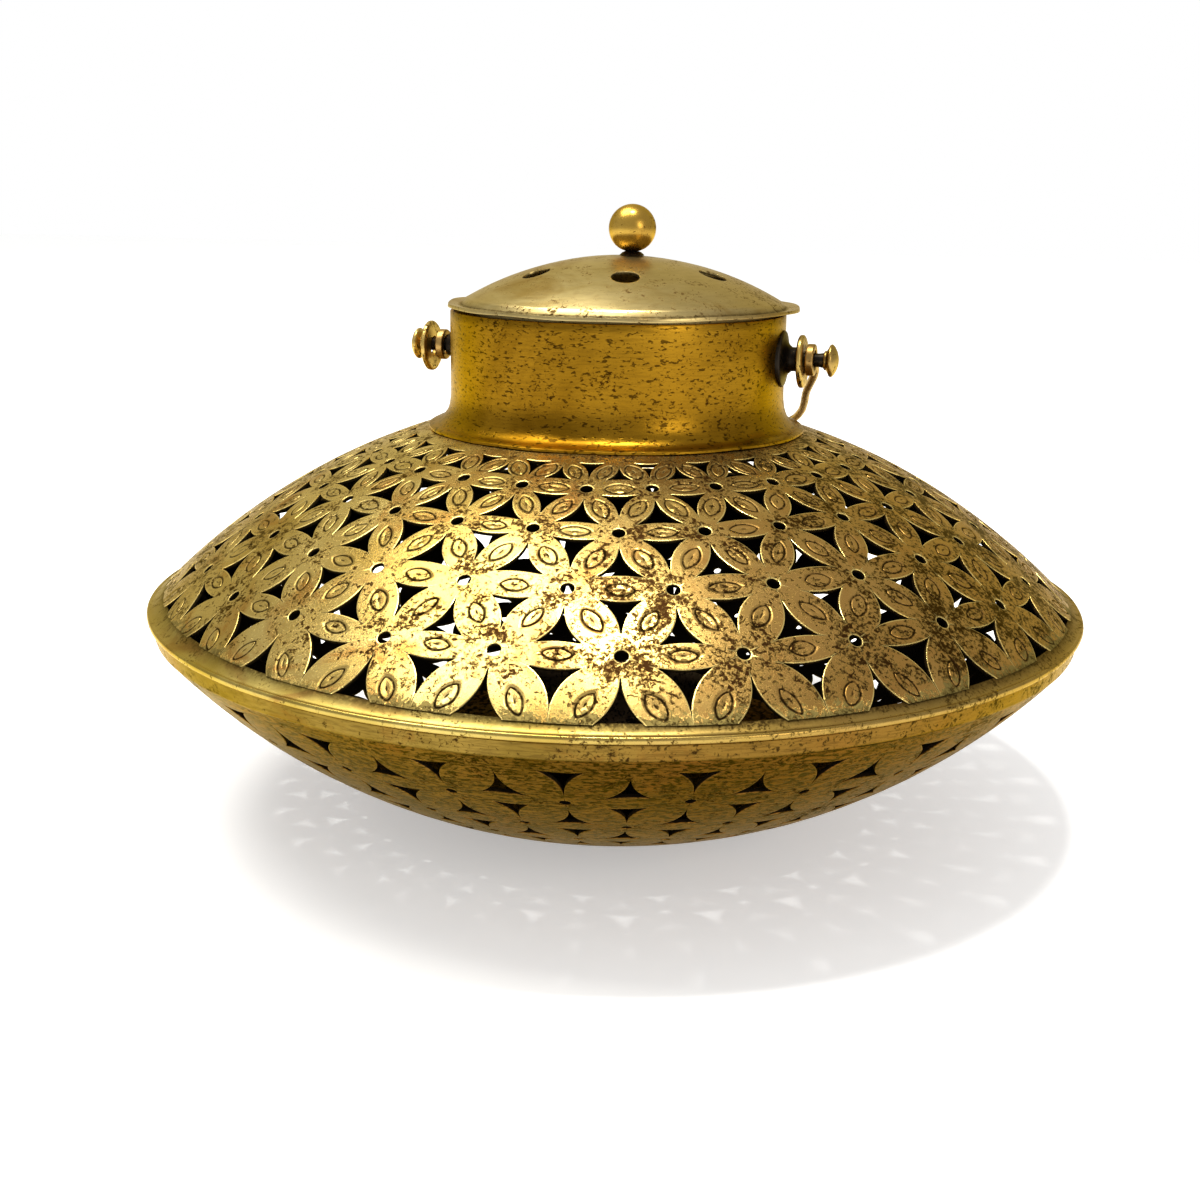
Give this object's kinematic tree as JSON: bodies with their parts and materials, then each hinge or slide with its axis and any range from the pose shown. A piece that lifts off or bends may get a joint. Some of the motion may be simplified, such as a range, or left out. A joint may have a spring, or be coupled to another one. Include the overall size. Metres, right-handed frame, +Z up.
{
  "type": "thurible censer",
  "caption": "Round pierced-brass censer: floral openwork shoulder and bowl, plain neck, vented lift-off lid with ball finial, swinging bail handle and a loose coal cup.",
  "frame": {"origin": "centre of the flat underside, on the resting surface", "axes": "+Z up along the vessel's axis; X along the pivot studs of the bail; the resting bail lies towards +Y"},
  "size_m": [0.25, 0.25, 0.1615],
  "materials": {
    "pierced_brass": "antique, hand cut, pierced and engraved",
    "bowl_brass": "antique, darker, fine level grain",
    "band_brass": "polished bead with mottled brazing",
    "neck_brass": "brushed and pitted antique",
    "lid_brass": "smooth antique",
    "blackened_brass": "blackened",
    "rubbed_brass": "blackened with bright rubbed rims",
    "rod_brass": "brown antique rod",
    "ball_brass": "polished antique",
    "cup_brass": "sooted sheet"
  },
  "bodies": {
    "censer": {"base_disc": "bowl_brass", "lower_bowl": "bowl_brass", "rim_band": "band_brass", "upper_shell": "pierced_brass", "neck_collar": "neck_brass", "pivot_stud_right": "blackened_brass", "pivot_stud_left": "blackened_brass", "stud_rove_right": "rubbed_brass", "stud_rove_left": "rubbed_brass", "stud_button_right": "rubbed_brass", "stud_button_left": "rubbed_brass", "stud_flange_right": "blackened_brass", "stud_flange_left": "blackened_brass"},
    "bail": {"bail_handle": "rod_brass"},
    "washer_right": {"stud_washer_right": "rubbed_brass"},
    "washer_left": {"stud_washer_left": "rubbed_brass"},
    "lid": {"lid_shell": "lid_brass", "lid_locating_ring": "lid_brass", "finial_ball": "ball_brass", "finial_washer": "rubbed_brass", "finial_nut": "rubbed_brass"},
    "cup": {"coal_cup": "cup_brass", "cup_foot_ring": "cup_brass"}
  },
  "joints": [
    {"name": "bail_swing", "type": "hinge", "parent": "censer", "child": "bail", "pos_m": [0, 0, 0.1232], "axis": [1, 0, 0], "range_deg": [0, 221.7]},
    {"name": "washer_right_turn", "type": "hinge", "parent": "censer", "child": "washer_right", "pos_m": [0.0496, 0, 0.1232], "axis": [1, 0, 0], "continuous": true},
    {"name": "washer_left_turn", "type": "hinge", "parent": "censer", "child": "washer_left", "pos_m": [-0.0535, 0, 0.1232], "axis": [1, 0, 0], "continuous": true},
    {"name": "lid_lift", "type": "slide", "parent": "censer", "child": "lid", "axis": [0, 0, 1], "range_m": [0, 0.2]},
    {"name": "cup_lift", "type": "slide", "parent": "censer", "child": "cup", "axis": [0, 0, 1], "range_m": [0, 0.1]}
  ]
}
